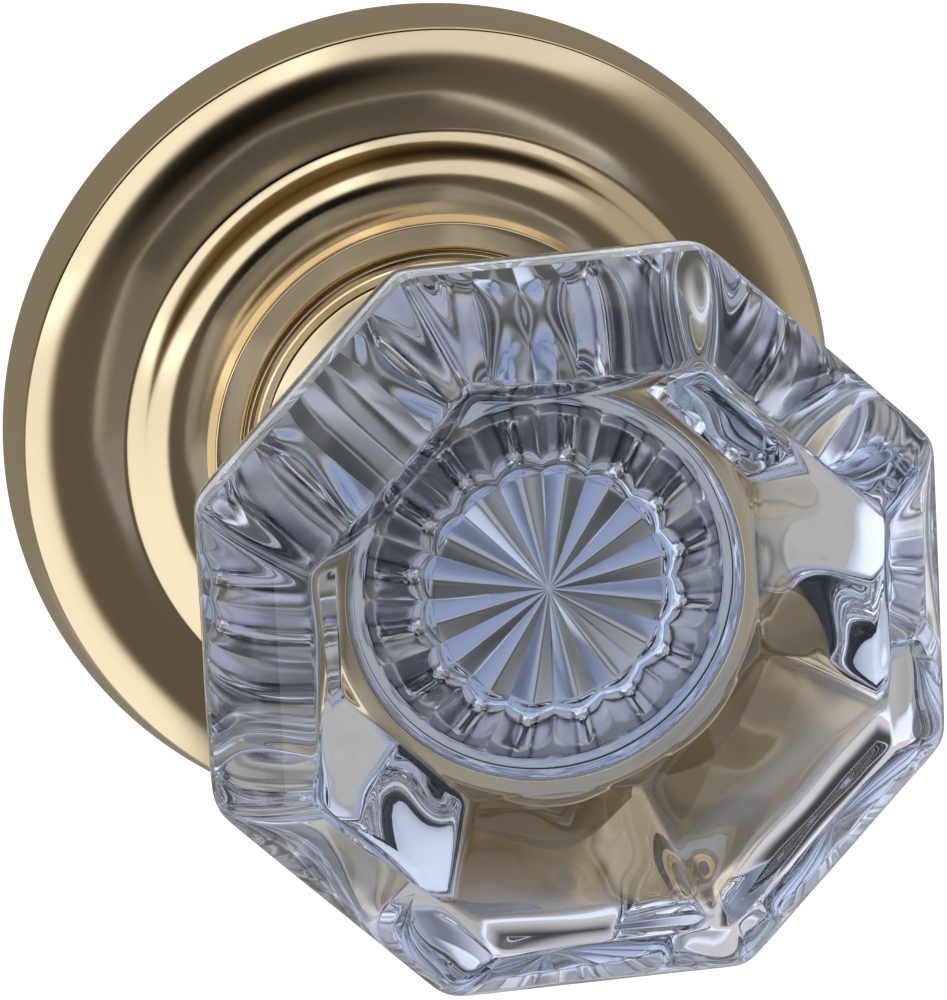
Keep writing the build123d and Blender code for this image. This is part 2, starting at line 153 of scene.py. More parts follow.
def turned(name, outline, segments):
    """A closed body of revolution. The outline is a closed loop, or runs from axis to axis."""
    on_axis = outline[0][0] < 1e-6 and outline[-1][0] < 1e-6
    ring_points = outline[1:-1] if on_axis else outline
    points = [
        place(r, h, 2 * pi * k / segments) for r, h in ring_points for k in range(segments)
    ]
    faces = grid_faces(len(ring_points), segments, closed=not on_axis)
    if on_axis:
        first, last = len(points), len(points) + 1
        points += [place(0, outline[0][1], 0), place(0, outline[-1][1], 0)]
        tail = (len(ring_points) - 1) * segments
        for k in range(segments):
            m = (k + 1) % segments
            faces.append((first, k, m))
            faces.append((last, tail + m, tail + k))
    return new_mesh(name, points, faces)


def skin(name, rows, pole, front=None):
    """A surface over rows of points, closed at its last row by a pole and, if given, at its first."""
    count = len(rows[0])
    points = [p for row in rows for p in row] + [pole]
    faces = grid_faces(len(rows), count, closed=False)
    tail = (len(rows) - 1) * count
    for k in range(count):
        faces.append((tail + k, len(points) - 1, tail + (k + 1) % count))
    if front is not None:
        points.append(front)
        for k in range(count):
            faces.append((k, (k + 1) % count, len(points) - 1))
    return new_mesh(name, points, faces)


def prism(base, along):
    """A closed straight bar on a base of points, along a vector; both in metres."""
    count = len(base)
    points = [Vector(p) for p in base] + [Vector(p) + Vector(along) for p in base]
    sides = [(k, (k + 1) % count, count + (k + 1) % count, count + k) for k in range(count)]
    ends = [tuple(range(count))[::-1], tuple(range(count, 2 * count))]
    return new_mesh("cutter", points, sides + ends)


def radial_hole(radius, height, reach, depth):
    """Cutter for a round hole from below, across the axis: from the reach in by the depth."""
    ring = [2 * pi * k / HOLE_SIDES for k in range(HOLE_SIDES)]
    base = [(radius * cos(t) * MM, (radius * sin(t) - height) * MM, -reach * MM) for t in ring]
    return prism(base, (0, 0, depth * MM))


def cut(obj, *cutters):
    """Takes the cutters out of the object for good, and keeps the new edges crisp."""
    for cutter in cutters:
        boolean = obj.modifiers.new("cut", "BOOLEAN")
        boolean.object = cutter
        boolean.solver = "EXACT"
    bpy.context.view_layer.update()
    whole = obj.evaluated_get(bpy.context.evaluated_depsgraph_get())
    mesh = bpy.data.meshes.new_from_object(whole)
    obj.modifiers.clear()
    obj.data = mesh
    mesh.shade_smooth()
    mesh.set_sharp_from_angle(angle=SHARP)
    for cutter in cutters:
        bpy.data.objects.remove(cutter)


# ---------------------------------------------------------------- the rose, the neck and the cup

ROSE_SIDE = [(33.35, 0.0), (33.3, 0.35), (33.05, 1.6), (32.6, 3.5), (32.25, 4.75)]
ROSE_SIDE_BEND = 4.0
# Slopes of each arc in degrees, and its radius: the rolled flange, then the ogee up to the seat.
FLANGE_ARCS = [((37, 11), 8.0), ((11, 4), 14.0), ((4, 0), 25.0)]
OGEE_START = 24.75
OGEE_ARCS = [
    ((0, 26), 0.9), ((26, 38.5), 3.2), ((38.5, 44), 9.0),
    ((44, 38.5), 9.0), ((38.5, 27), 4.5), ((27, 11), 3.2), ((11, 4), 12.0),
]
# The step round the hub, as (radius, rise over the seat), and its bends.
STEP = [(18.45, 0.03), (18.05, 1.45), (16.0, 1.75)]
STEP_BENDS = [0.1, 0.25, 0.2, 0.12]
HUB_FLOOR = 10.3
HUB_HOLE_R = 12.5
ROSE_INSIDE = [
    (HUB_HOLE_R, HUB_FLOOR), (HUB_HOLE_R, 9.1), (16.4, 9.1), (16.8, 7.8), (20.1, 7.8),
    (23.4, 5.0), (28.0, 5.2), (31.1, 3.95), (32.15, 0.0), (33.35, 0.0),
]
ROSE_INSIDE_BEND = 0.4
ROSE_SEGMENTS = 384
ROSE_SCREW_HOLE = {"radius": 1.5, "height": 2.6, "reach": 36, "depth": 5}

# (radius, height, bend radius) from the journal and its clip groove to the spigot.
NECK = [
    (0, 3.9, 0), (10.5, 3.9, 0.2), (10.5, 4.65, 0.05), (9.7, 4.65, 0.05), (9.7, 5.55, 0.05),
    (10.5, 5.55, 0.05), (10.5, 10.6, 0.1), (15.75, 10.6, 0.15), (15.75, 11.0, 0.15),
    (15.3, 11.12, 0.1), (15.15, 11.02, 0.1), (14.95, 11.14, 0.1), (14.5, 11.2, 0.1),
    (14.3, 11.4, 0.4), (11.3, 12.9, 4.0), (9.7, 19.0, 8.0), (9.6, 24.0, 8.0), (10.2, 26.0, 2.0),
    (11.0, 27.0, 0.2), (6.0, 27.0, 0.1), (6.0, 32.0, 0.3), (0, 32.0, 0),
]
NECK_SEGMENTS = 320
NECK_SCREW_HOLE = {"radius": 2.5, "height": 21, "reach": 12, "depth": 9}
BROACH = 8.1
BROACH_LOW = 3.0
BROACH_DEPTH = 22.5

CUP = [
    (6.0, 27.0, 0), (11.0, 27.0, 0.2), (12.4, 29.2, 6.0), (15.2, 33.2, 6.0), (15.6, 36.0, 4.0),
    (15.6, 41.0, 0.4), (14.3, 41.0, 0.2), (14.3, 36.9, 0.1), (12.7, 36.9, 0.1), (12.7, 34.0, 0.5),
    (10.2, 28.5, 0.5), (6.0, 28.5, 0.1), (6.0, 27.0, 0),
]


def rose_outline():
    """The front of the stepped rose: tapered side, rolled flange, ogee, seat, step and hub."""
    points = dense(bend(ROSE_SIDE, ROSE_SIDE_BEND))
    for slopes, radius in FLANGE_ARCS:
        points += arc(points[-1], slopes, radius)
    points.append((OGEE_START, points[-1][1]))
    for slopes, radius in OGEE_ARCS:
        points += arc(points[-1], slopes, radius)
    seat = points[-1][1]
    step = [(r, seat + rise) for r, rise in STEP]
    hub = [(step[-1][0], HUB_FLOOR), (HUB_HOLE_R, HUB_FLOOR)]
    return points + bend([points[-1]] + step + hub, STEP_BENDS)[1:]


def rose_shell():
    inside = bend(ROSE_INSIDE, ROSE_INSIDE_BEND, 4)
    shell = turned("rose_shell_polished", dense(rose_outline() + inside[1:-1]), ROSE_SEGMENTS)
    cut(shell, radial_hole(**ROSE_SCREW_HOLE))
    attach(shell, "rose")
    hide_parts("rose_shell")
    return shell


def knob_neck():
    neck = turned("knob_neck_polished", dense(rounded(NECK)), NECK_SEGMENTS)
    half, low = BROACH / 2 * MM, -BROACH_LOW * MM
    square = [(-half, low, -half), (half, low, -half), (half, low, half), (-half, low, half)]
    cut(neck, radial_hole(**NECK_SCREW_HOLE), prism(square, (0, -BROACH_DEPTH * MM, 0)))
    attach(neck, "knob")
    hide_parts("knob_shank")
    return neck


def ferrule_cup():
    cup = turned("ferrule_cup_polished", dense(rounded(CUP)[:-1]), NECK_SEGMENTS)
    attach(cup, "knob")
    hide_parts("ferrule")
    return cup


# ---------------------------------------------------------------- the return spring

SPRING_R = 10.3
SPRING_WIRE = 0.55
SPRING_LOW = -5.8
SPRING_PITCH = 1.2
SPRING_TURNS = 3
SPRING_STEPS = 240
SPRING_LEG = 12.5  # degrees either side of the top
SPRING_LEG_END = 13.2
SPRING_LEG_STEP = 0.2
SPRING_CORNER = 0.9
SPRING_CORNER_STEPS = 8
SPRING_SIDES = 20
SPRING_TIP = 0.12
SPRING_TIP_SHARE = 0.75


def wire_path():
    """The spring's wire: a leg in from outside, the coil, and a leg out again."""
    first = radians(90 + SPRING_LEG)
    last = radians(90 - SPRING_LEG) + SPRING_TURNS * 2 * pi
    high = SPRING_LOW + SPRING_PITCH * (last - first) / (2 * pi)
    turn = SPRING_CORNER / SPRING_R
    leg = [SPRING_LEG_END - SPRING_LEG_STEP * i for i in range(10)]
    corner = []
    for i in range(SPRING_CORNER_STEPS + 1):
        u = i / SPRING_CORNER_STEPS
        left = (1 - u) ** 2
        corner.append((left * (SPRING_R + SPRING_CORNER) + (1 - left) * SPRING_R, turn * u * u))
    path = [(r, SPRING_LOW, first) for r in leg]
    path += [(r, SPRING_LOW, first + t) for r, t in corner]
    for i in range(1, SPRING_STEPS):
        u = i / SPRING_STEPS
        angle = first + turn + (last - first - 2 * turn) * u
        path.append((SPRING_R, SPRING_LOW + (high - SPRING_LOW) * u, angle))
    path += [(r, high, last - t) for r, t in corner[::-1]]
    path += [(r, high, last) for r in leg[::-1]]
    return [place(*p) for p in path]


def return_spring():
    """Round wire along the path, with its cut ends softly rounded."""
    path = wire_path()
    path = [path[0]] + path + [path[-1]]
    tail = len(path) - 1
    points = []
    for i, p in enumerate(path):
        ahead = (path[min(i + 1, tail)] - path[max(i - 1, 0)]).normalized()
        normal = (Vector((0, 1, 0)) - ahead * ahead.y).normalized()
        across = ahead.cross(normal)
        r = SPRING_WIRE * MM
        if i in (0, tail):
            r *= SPRING_TIP_SHARE
            p = p + ahead * (SPRING_TIP * MM * (1 if i else -1))
        for k in range(SPRING_SIDES):
            t = 2 * pi * k / SPRING_SIDES
            points.append(p + normal * (r * cos(t)) + across * (r * sin(t)))
    faces = grid_faces(len(path), SPRING_SIDES, closed=False)
    start = tail * SPRING_SIDES
    faces += [tuple(range(SPRING_SIDES)), tuple(start + k for k in range(SPRING_SIDES))[::-1]]
    spring = new_mesh("return_spring_wire", points, faces)
    spring.data.set_sharp_from_angle(angle=radians(50))
    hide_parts("return_spring")
    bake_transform(spring)
    return spring


# ---------------------------------------------------------------- the glass and its foil

SIDES = 8
SIDE_POINTS = 64
CORNER_POWER = 90
TABLE_H = 73.6
TABLE_EDGE = 20.6
TABLE_DOME = 320.0
TABLE_ROWS = 24
TABLE_FOOT = TABLE_H - TABLE_EDGE ** 2 / (2 * TABLE_DOME)
FRONT_SLOPES = (36, 81)  # degrees off the table
FRONT_R = 15.5
FRONT_ROWS = 24
GIRDLE_R = 27.0
GIRDLE_BEND = 0.5
BACK_H = 61.2
BACK_ARCS = [((2, 40.5), 19.5, 20), ((40.5, 45), 133.0, 12)]  # slopes, radius, steps
BODY_STEP = 0.9
BOSS = 14.0
RIM_H = 39.2
# From the octagonal back to the round boss: half width, drop, and 1 where it is round.
BACK_FOOT = [(14.95, 0.25, 0), (14.3, 0.28, 1), (14.05, 0.35, 1), (BOSS, 0.6, 1)]
BOSS_RIM = [(BOSS - 0.15, RIM_H + 0.15), (BOSS - 0.4, RIM_H), (13.3, RIM_H), (12.95, RIM_H + 0.08)]

FLUTES = 16
FLUTE_BULGE = 0.035
FLUTE_INSET = 0.25
FLUTE_DEEP = 0.3
BEAD = 0.3
BEAD_WIDTH = 0.24
HOLLOW = [(12.7, 39.7), (9.35, 41.7), (9.0, 41.5)]
HOLLOW_STEP = 0.2
STAR_ROWS = 24
STAR_RISE = 0.6
PETAL = 0.42
PETAL_SOFT = 0.01

# The slow waves of pressed and fire-polished glass, stronger on the back.
WAVE = 0.07
WAVE_BACK = 0.35
WAVE_BACK_DEPTH = 6
WAVE_SCALE = 0.11
WAVE_BACK_SCALE = 1.4
WAVE_FULL_R = 24

FOIL_GAP = 0.06
FOIL_T = 0.25


def side_angles():
    """Angles round the knob, closer together at the eight corners."""
    out = []
    for side in range(SIDES):
        for i in range(SIDE_POINTS):
            u = 2 * i / SIDE_POINTS - 1
            bunched = 0.4 * u + 0.6 * sin(u * pi / 2)
            out.append(2 * pi * side / SIDES + bunched * pi / SIDES)
    return out


def octagon_reach(angle):
    """How far the rounded octagon reaches, as a multiple of half its width across flats."""
    near = [cos(angle - 2 * pi * k / SIDES) for k in range(SIDES)]
    return sum(c ** CORNER_POWER for c in near if c > 0.5) ** (-1 / CORNER_POWER)


def flute_phase(angle):
    """-1 to 1 across one flute, 0 in its middle."""
    return 2 * ((angle / (2 * pi / FLUTES)) % 1.0) - 1


def flute(radius, phase):
    """Radius of the fluted hollow: rounded petals between sharp cusps."""
    return radius * (1 + FLUTE_BULGE * (1 - phase * phase)) - FLUTE_INSET


def swell(share, phase):
    """How much a flute stands proud of the hollow's wall: a shallow bow with a bead down its middle."""
    bow = FLUTE_DEEP * (1 - phase * phase)
    bead = BEAD * exp(-((phase / BEAD_WIDTH) ** 2))
    return (bow + bead) * (1 - (2 * share - 1) ** 6)


def petal(share, phase):
    """Height of the star: sixteen roof-shaped petals, deeper towards the rim."""
    ridge = 1 - sqrt(phase * phase + PETAL_SOFT)
    return STAR_RISE * (1 - share) + PETAL * share * ridge


def star_height(share, phase):
    """Height off the door of a point of the star."""
    return HOLLOW[-1][1] + petal(share, phase) - petal(1, 1)


def hollow_rows(angles, gap=0.0):
    """Rows of the fluted wall, from the mouth in to the star's rim."""
    wall = dense(HOLLOW[:2], HOLLOW_STEP)
    lip = dense(HOLLOW[1:], HOLLOW_STEP)[1:]
    rows = []
    for i, (r, h) in enumerate(wall + lip):
        share = i / (len(wall) - 1)
        row = []
        for t in angles:
            u = flute_phase(t)
            proud = swell(share, u) if i < len(wall) else 0
            row.append(place(flute(r - gap, u), h + proud - gap, t))
        rows.append(row)
    return rows


def star_rows(angles, gap=0.0):
    """Rows of the star's petals, from its rim towards the middle."""
    rows = []
    for i in range(1, STAR_ROWS):
        share = 1 - i / STAR_ROWS
        row = []
        for t in angles:
            u = flute_phase(t)
            row.append(place(flute(HOLLOW[-1][0] - gap, u) * share, star_height(share, u) - gap, t))
        rows.append(row)
    return rows


def star_middle(gap=0.0):
    return place(0, HOLLOW[-1][1] + STAR_RISE - petal(1, 1) - gap, 0)


def front_profile():
    """The table, nearly flat, and the bowed bevel from its edge to the girdle."""
    table = []
    for i in range(1, TABLE_ROWS + 1):
        r = TABLE_EDGE * i / TABLE_ROWS
        table.append((r, TABLE_H - r ** 2 / (2 * TABLE_DOME)))
    n0, n1 = FRONT_SLOPES
    bevel = [table[-1]]
    for i in range(1, FRONT_ROWS + 1):
        n = radians(n0 + (n1 - n0) * i / FRONT_ROWS)
        bevel.append((TABLE_EDGE + FRONT_R * (sin(n) - sin(radians(n0))),
                      table[-1][1] - FRONT_R * (cos(radians(n0)) - cos(n))))
    shift = GIRDLE_R - bevel[-1][0]
    bevel = [(r + shift * i / FRONT_ROWS, h) for i, (r, h) in enumerate(bevel)]
    return table, bevel


def back_profile():
    """The bowed back, from the girdle in to the boss."""
    back = [(GIRDLE_R, BACK_H)]
    for (t0, t1), radius, steps in BACK_ARCS:
        r, h = back[-1]
        t0, t1 = radians(t0), radians(t1)
        for i in range(1, steps + 1):
            t = t0 + (t1 - t0) * i / steps
            back.append((r - radius * (cos(t0) - cos(t)), h - radius * (sin(t) - sin(t0))))
    return back


def glass_profile():
    """(half width, height, round) from the table's middle to the hollow; round is 0 on the octagon."""
    table, bevel = front_profile()
    back = back_profile()
    girdle = bend([bevel[-2], bevel[-1], back[0], back[1]], GIRDLE_BEND, 6)
    body = dense(bevel[1:-2] + girdle[:-1] + back[1:], BODY_STEP)
    profile = [(a, h, 0) for a, h in table + body]
    profile += [(a, body[-1][1] - drop, kind) for a, drop, kind in BACK_FOOT]
    return profile + [(a, h, 1) for a, h in BOSS_RIM]


def glass_point(half, height, kind, angle):
    """A point of the glass, with the waves of its surface on the octagonal part."""
    if kind:
        return place(half, height, angle)
    reach = half * octagon_reach(angle)
    on_table = height > TABLE_FOOT - 0.01
    p = place(reach, TABLE_H - reach ** 2 / (2 * TABLE_DOME) if on_table else height, angle)
    behind = height <= BACK_H
    share = min(1, (BACK_H - height) / WAVE_BACK_DEPTH) if behind else 0
    amount = WAVE + (WAVE_BACK - WAVE) * share
    scale = WAVE_SCALE * (WAVE_BACK_SCALE if behind else 1)
    drift = noise.noise(p * (scale / MM)) * amount * min(1, half / WAVE_FULL_R) * MM
    return p + p.normalized() * drift


def glass_knob():
    angles = side_angles()
    rows = [[glass_point(*ring, t) for t in angles] for ring in glass_profile()]
    rows += hollow_rows(angles) + star_rows(angles)
    knob = skin("glass_knob_pressed", rows, star_middle(), front=place(0, TABLE_H, 0))
    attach(knob, "knob")
    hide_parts("glass_knob")
    return knob


def star_reflector():
    """Silvered foil under the hollow: a brim, then the same flutes and petals, a hair lower."""
    angles = side_angles()
    low = RIM_H - FOIL_GAP
    brim = [(BOSS - 0.3, low), (13.5, low), (13.1, low), (12.9, RIM_H)]
    rows = [[place(r, h, t) for t in angles] for r, h in brim]
    rows += hollow_rows(angles, FOIL_GAP) + star_rows(angles, FOIL_GAP)
    foil = skin("star_foil_silvered", rows, star_middle(FOIL_GAP))
    thick = foil.modifiers.new("thickness", "SOLIDIFY")
    thick.thickness = FOIL_T * MM
    thick.offset = -1
    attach(foil, "knob")
    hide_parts("star_foil")
    return foil


# ---------------------------------------------------------------- materials

GLASS_COLOR = (0.88, 0.92, 1.0, 1)
BRASS_COLOR = (0.85, 0.71, 0.48, 1)
FOIL_COLOR = (0.8, 0.87, 1.0, 1)
# The foil's wall is burnished along each bead and dull between, and its colour is a painted reflection,
# dark just beside each bead: how far off the bead's middle, as a share of a flute, and how bright it is
# painted.
FOIL_PAINTED_STRIPE = [(0.0, 1.0), (0.1, 1.0), (0.14, 0.35), (0.21, 0.92), (0.44, 1.0), (0.47, 1.0)]
FOIL_WALL = (9.35, 12.9)
FOIL_DULL_FROM = 0.17
FOIL_DULL = 0.08

# Bevel widths, in mm, for the pieces that come straight from the CAD model.
CARRIED = {
    "rose_set_screw": 0.08,
    "neck_set_screw": 0.1,
    "rose_bushing": 0.15,
    "mounting_plate": 0.12,
    "spring_housing": 0.12,
    "through_screws": 0.1,
    "screw_washers": 0.08,
    "housing_rivets": 0.2,
    "spring_cam": 0.12,
    "square_spindle": 0.12,
    "thrust_washer": 0.05,
    "shank_clip": 0.08,
    "ferrule_nut": 0.12,
    "cushion_washer": 0.2,
}


def node(tree, kind, **inputs):
    made = tree.nodes.new(kind)
    for key, value in inputs.items():
        made.inputs[key.replace("_", " ")].default_value = value
    return made


def calc(tree, kind, a, b=None):
    """A Math node on numbers or on other nodes' outputs; returns its output."""
    made = tree.nodes.new("ShaderNodeMath")
    made.operation = kind
    for socket, value in zip(made.inputs, (a, b)):
        if isinstance(value, (int, float)):
            socket.default_value = value
        elif value is not None:
            tree.links.new(value, socket)
    return made.outputs[0]


def blend(tree, factor, a, b):
    """Colour between a and b; each is a colour or another node's output."""
    made = tree.nodes.new("ShaderNodeMix")
    made.data_type = "RGBA"
    tree.links.new(factor, made.inputs["Factor"])
    for socket, value in ((made.inputs[6], a), (made.inputs[7], b)):
        if isinstance(value, tuple):
            socket.default_value = value
        else:
            tree.links.new(value, socket)
    return made.outputs[2]


def material(name, **sockets):
    """A Principled material; keywords are socket names with underscores for spaces."""
    made = bpy.data.materials.new(name)
    made.use_nodes = True
    shader = made.node_tree.nodes["Principled BSDF"]
    for key, value in sockets.items():
        shader.inputs[key.replace("_", " ")].default_value = value
    return made


def vary(made, socket, low, high, scale):
    """Noise between two values into a socket of the shader; returns the noise's output."""
    tree = made.node_tree
    where = node(tree, "ShaderNodeTexCoord")
    cloud = node(tree, "ShaderNodeTexNoise", Scale=scale, Detail=3.0)
    spread = node(tree, "ShaderNodeMapRange", To_Min=low, To_Max=high)
    tree.links.new(where.outputs["Object"], cloud.inputs["Vector"])
    tree.links.new(cloud.outputs["Fac"], spread.inputs["Value"])
    tree.links.new(spread.outputs["Result"], tree.nodes["Principled BSDF"].inputs[socket])
    return spread.outputs["Result"]


def relief(made, scale, height, strength):
    """Fine bump from noise."""
    tree = made.node_tree
    where = node(tree, "ShaderNodeTexCoord")
    cloud = node(tree, "ShaderNodeTexNoise", Scale=scale, Detail=4.0)
    bump = node(tree, "ShaderNodeBump", Strength=strength, Distance=height)
    tree.links.new(where.outputs["Object"], cloud.inputs["Vector"])
    tree.links.new(cloud.outputs["Fac"], bump.inputs["Height"])
    tree.links.new(bump.outputs["Normal"], tree.nodes["Principled BSDF"].inputs["Normal"])


def metal(name, color, low, high):
    made = material(name, Base_Color=(*color, 1), Metallic=1.0)
    vary(made, "Roughness", low, high, 400)
    relief(made, 800, 0.00002, 0.6)
    return made


def plain(name, color, low, high):
    made = material(name, Base_Color=(*color, 1))
    vary(made, "Roughness", low, high, 500)
    relief(made, 500, 0.00005, 0.5)
    return made


def polished_brass():
    made = material("polished brass", Base_Color=BRASS_COLOR, Metallic=1.0)
    vary(made, "Roughness", 0.1, 0.15, 300)
    return made


def clear_glass():
    made = material("clear glass", Base_Color=GLASS_COLOR, IOR=1.52, Transmission_Weight=1.0)
    vary(made, "Roughness", 0.0, 0.006, 200)
    return made


def silver_foil():
    """Bright foil, whose fluted wall is striped with one polished bead to a flute, and whose colour
    there is a painted reflection: bright on each bead, a dark line beside it.
    """
    made = material("silver foil", Base_Color=FOIL_COLOR, Metallic=1.0)
    polish = vary(made, "Roughness", 0.06, 0.16, 900)
    tree = made.node_tree
    shader = tree.nodes["Principled BSDF"]
    split = node(tree, "ShaderNodeSeparateXYZ")
    tree.links.new(node(tree, "ShaderNodeTexCoord").outputs["Object"], split.inputs[0])
    x, z = split.outputs[0], split.outputs[2]
    flutes = calc(tree, "MULTIPLY", calc(tree, "ARCTAN2", z, x), FLUTES / (2 * pi))
    within = calc(tree, "FRACT", calc(tree, "ADD", flutes, float(FLUTES)))
    off_bead = calc(tree, "ABSOLUTE", calc(tree, "SUBTRACT", within, 0.5))
    squares = calc(tree, "ADD", calc(tree, "MULTIPLY", x, x), calc(tree, "MULTIPLY", z, z))
    radius = calc(tree, "SQRT", squares)
    outside = calc(tree, "GREATER_THAN", radius, FOIL_WALL[0] * MM)
    on_wall = calc(tree, "MULTIPLY", outside, calc(tree, "LESS_THAN", radius, FOIL_WALL[1] * MM))
    flat = calc(tree, "MULTIPLY", calc(tree, "GREATER_THAN", off_bead, FOIL_DULL_FROM), FOIL_DULL)
    dull = calc(tree, "MULTIPLY", on_wall, flat)
    tree.links.new(calc(tree, "ADD", polish, dull), shader.inputs["Roughness"])
    # Painted reflection: the wall's colour is bright on each bead and painted dark just beside it.
    painted_reflection = tree.nodes.new("ShaderNodeValToRGB")
    ramp = painted_reflection.color_ramp
    while len(ramp.elements) < len(FOIL_PAINTED_STRIPE):
        ramp.elements.new(0.5)
    for stop, (position, level) in zip(ramp.elements, FOIL_PAINTED_STRIPE):
        stop.position = position
        stop.color = (level, level, min(1.0, level * 1.06), 1)
    tree.links.new(off_bead, painted_reflection.inputs["Fac"])
    # The painted reflection goes on the fluted wall only; elsewhere the foil keeps its plain colour.
    color = blend(tree, on_wall, FOIL_COLOR, painted_reflection.outputs["Color"])
    tree.links.new(color, shader.inputs["Base Color"])
    return made


def paint():
    """Materials for the pieces that come straight from the CAD model."""
    zinc = metal("zinc plate", (0.72, 0.69, 0.6), 0.25, 0.45)
    steel = metal("bright steel", (0.62, 0.62, 0.62), 0.2, 0.4)
    black = metal("black oxide", (0.05, 0.05, 0.055), 0.3, 0.5)
    looks = {
        "rose_set_screw": black,
        "neck_set_screw": black,
        "rose_bushing": plain("nylon", (0.85, 0.84, 0.78), 0.35, 0.5),
        "mounting_plate": zinc,
        "spring_housing": zinc,
        "through_screws": steel,
        "screw_washers": steel,
        "housing_rivets": steel,
        "spring_cam": metal("sintered iron", (0.3, 0.29, 0.28), 0.4, 0.6),
        "square_spindle": metal("drawn bar", (0.55, 0.55, 0.56), 0.3, 0.45),
        "thrust_washer": steel,
        "spring_washer": metal("spring strip", (0.4, 0.4, 0.42), 0.25, 0.4),
        "shank_clip": metal("clip steel", (0.35, 0.35, 0.37), 0.25, 0.4),
        "ferrule_nut": metal("turned brass", (0.8, 0.6, 0.34), 0.25, 0.4),
        "cushion_washer": plain("fibre", (0.30, 0.22, 0.12), 0.6, 0.8),
        "cement_ring": plain("cement", (0.75, 0.73, 0.68), 0.8, 0.95),
    }
    for name, look in looks.items():
        NODES[name].data.materials.clear()
        NODES[name].data.materials.append(look)


def soften():
    """Breaks the edges of the pieces that come straight from the CAD model."""
    for name, width in CARRIED.items():
        edge = NODES[name].modifiers.new("broken edges", "BEVEL")
        edge.width = width * MM
        edge.segments = 3
        edge.limit_method = "ANGLE"
        edge.angle_limit = SHARP
        edge.harden_normals = True


# ---------------------------------------------------------------- camera, light and floor

# Tilt is the angle from straight out of the door, and swing the angle round that, from the
# right and anticlockwise, both in degrees. "Through" is for rays that have just left the glass.
CAMERA = {"azimuth": -9.97, "elevation": 15.43, "roll": -3.12}
CAMERA_AT = {"distance": 0.6582, "right": 0.00434, "up": -0.00677}
LENS = 298.0
SENSOR = 36.0

AMBIENT = 0.12
# Soft boxes: tilts, swings, softness of each, and strength.
BOXES = [
    ((36, 70), (40, 100), 5, 10, 0.75),
    ((34, 72), (95, 170), 4, 8, 1.05),
    ((40, 100), (165, 250), 7, 7, 0.95),
    ((40, 95), (-30, 45), 16, 10, 0.35),
    ((50, 125), (-165, -15), 10, 15, 0.1),
]
# A dark flag over the upper left: its swing, how far out it starts, softness, and its two ends.
FLAG = (113, 1.65, 0.12)
FLAG_SPAN = ((0, 100), (-67, 293), 3, 1)
FLAG_DEPTH, FLAG_DEPTH_THROUGH = 0.82, 0.42
# The dark round of the camera and its lens hood: tilt, swing, radius, softness.
HOOD = (19, 112, 17, 8)
HOOD_DEPTH, HOOD_DEPTH_THROUGH = 0.95, 0.45
THROUGH_LOSS = 0.22
# Through the glass: a ring of light, weaker low down, a soft light in front, less behind.
RING = ((54, 76), (-180, 180), 4, 1)
RING_WEAK = ((0, 180), (-130, 20), 5, 15)
RING_LEVEL, RING_WEAKER = 0.5, 0.3
FRONT_LIGHT = ((0, 30), (-180, 180), 8, 1)
FRONT_LEVEL = 0.42
BEHIND = (72, 95)
BEHIND_LOSS = 0.8
# Behind the door's plane, for all rays but those: a floor of light, a round one and boxes.
REAR_AMBIENT = (100, 130, 0.14)
REAR_ROUND = (176, 90, 16, 7, 1.3)
REAR_BOXES = [
    ((112, 142), (-75, 10), 8, 10, 0.25),
    ((112, 142), (225, 262), 8, 8, 0.25),
    ((98, 120), (30, 150), 8, 12, 0.6),
]
# Where the light is warm even through the glass, where the flag is gold, and the colours.
WARM_LOW = ((8, 75), (-130, 20), 8, 15)
GOLD_SPAN = ((50, 110), (35, 176), 3, 4)
GOLD_LOSS_THROUGH = 0.6
GOLD = (0.58, 0.38, 0.13, 1)
DIM_WARM, DIM_BLUE = (1.0, 0.93, 0.8, 1), (0.82, 0.89, 1.14, 1)
BRIGHT_WARM, BRIGHT_BLUE = (0.97, 0.98, 1.0, 1), (0.86, 0.91, 1.06, 1)
DIM_TO_BRIGHT = (0.2, 0.9)
WHITE = (1, 1, 1, 1)

FLOOR_SIZE = 3.0
FLOOR_LEVEL = -0.12
BOUNCES = 32


def camera():
    """The picture's viewing angle: from the upper left, close to head on, through a long lens."""
    azimuth, elevation, roll = (radians(CAMERA[key]) for key in ("azimuth", "elevation", "roll"))
    back = Vector((sin(azimuth) * cos(elevation), -cos(azimuth) * cos(elevation), sin(elevation)))
    x = Vector((0, 0, 1)).cross(back).normalized()
    y = back.cross(x)
    x, y = x * cos(roll) + y * sin(roll), y * cos(roll) - x * sin(roll)
    data = bpy.data.cameras.new("camera")
    data.lens = LENS
    data.sensor_width = SENSOR
    data.clip_start = 0.01
    data.clip_end = 20
    cam = bpy.data.objects.new("camera", data)
    bpy.context.scene.collection.objects.link(cam)
    turn = Matrix((x, y, back)).transposed().to_4x4()
    at = x * CAMERA_AT["right"] + y * CAMERA_AT["up"] + back * CAMERA_AT["distance"]
    cam.matrix_world = Matrix.Translation(at) @ turn
    bpy.context.scene.camera = cam


